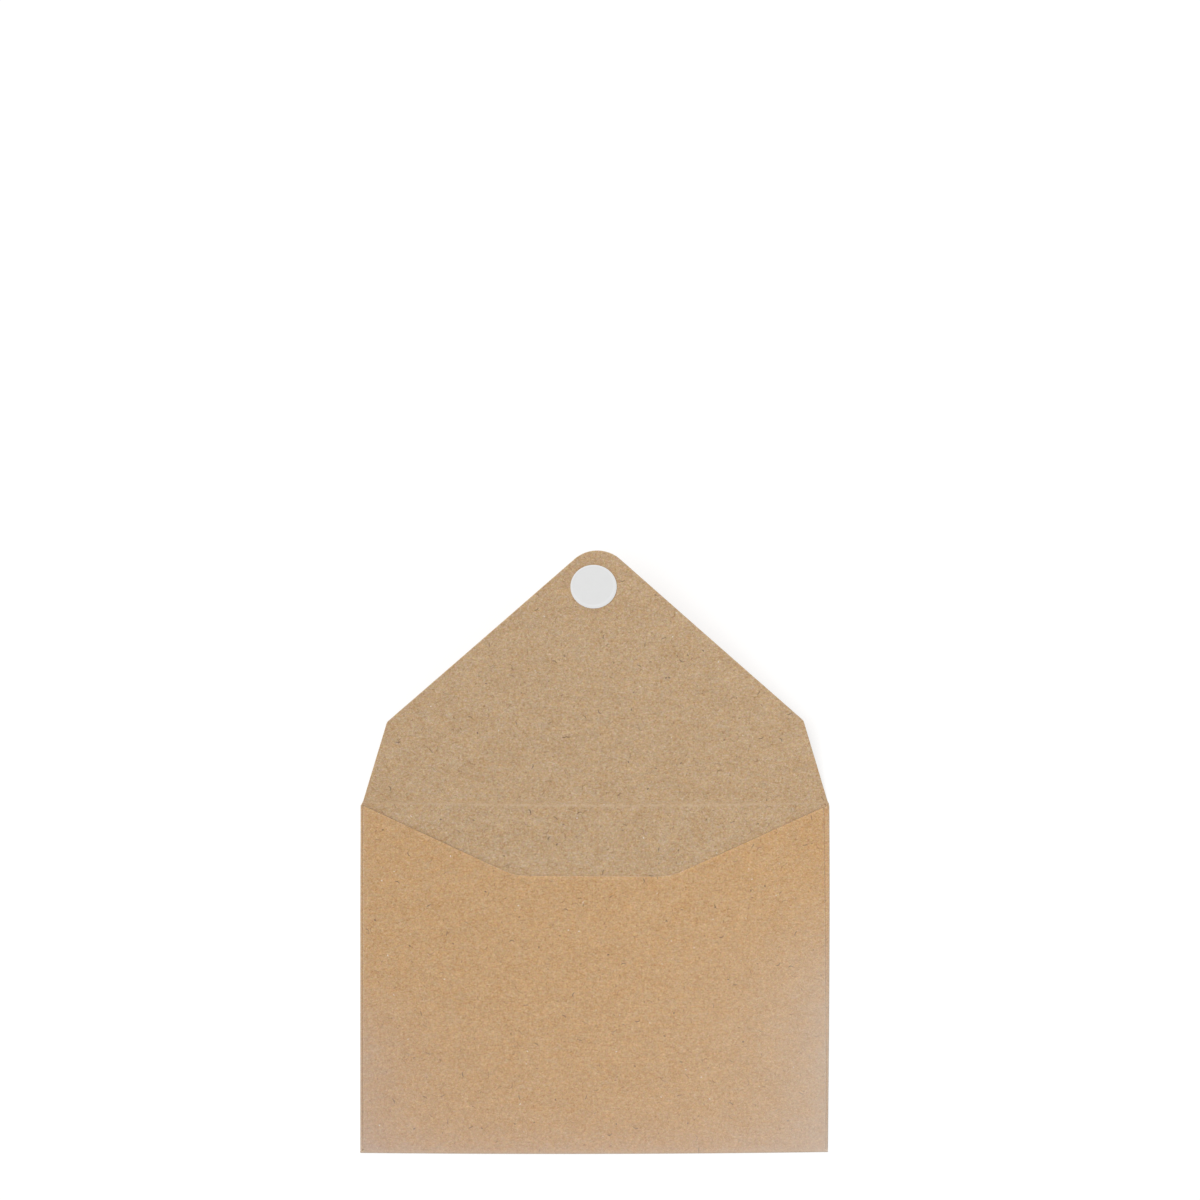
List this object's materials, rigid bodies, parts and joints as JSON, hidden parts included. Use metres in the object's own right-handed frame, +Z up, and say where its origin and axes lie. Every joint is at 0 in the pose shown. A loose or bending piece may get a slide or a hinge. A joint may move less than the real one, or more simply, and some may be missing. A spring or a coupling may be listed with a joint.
{
  "type": "gift envelope",
  "caption": "Flat kraft paper envelope with a pointed closing flap, a wide scooped mouth and a peel-off adhesive dot near the flap's tip.",
  "frame": {"origin": "centre of the back panel's underside, on the surface that the envelope lies on", "axes": "+X along the envelope's width, to the right as the mouth is read; +Y towards the closing flap; +Z up, out of the pocket side"},
  "size_m": [0.12, 0.1545, 0.0246],
  "materials": {
    "kraft_inside": "matte",
    "kraft_outside": "matte",
    "seam_glue": "satin",
    "clear_adhesive": "gloss",
    "liner_paper": "satin"
  },
  "bodies": {
    "body": {"back_panel": "kraft_inside", "pocket_panel": "kraft_outside", "bottom_fold": "kraft_outside", "left_side_fold": "kraft_outside", "right_side_fold": "kraft_outside", "left_side_flap": "kraft_outside", "right_side_flap": "kraft_outside", "left_glue_seam": "seam_glue", "right_glue_seam": "seam_glue", "flap_crease": "kraft_inside"},
    "flap": {"closing_flap": "kraft_inside", "adhesive_dot": "clear_adhesive"},
    "liner": {"release_liner": "liner_paper"}
  },
  "joints": [
    {"name": "flap_hinge", "type": "hinge", "parent": "body", "child": "flap", "pos_m": [0, 0.04475, 0.00105], "axis": [1, 0, 0], "range_deg": [-20.6, 159.4], "deforming": ["flap_crease"]},
    {"name": "liner_peel", "type": "slide", "parent": "flap", "child": "liner", "axis": [0, 0.9361, 0.3518], "range_m": [0, 0.014]}
  ]
}
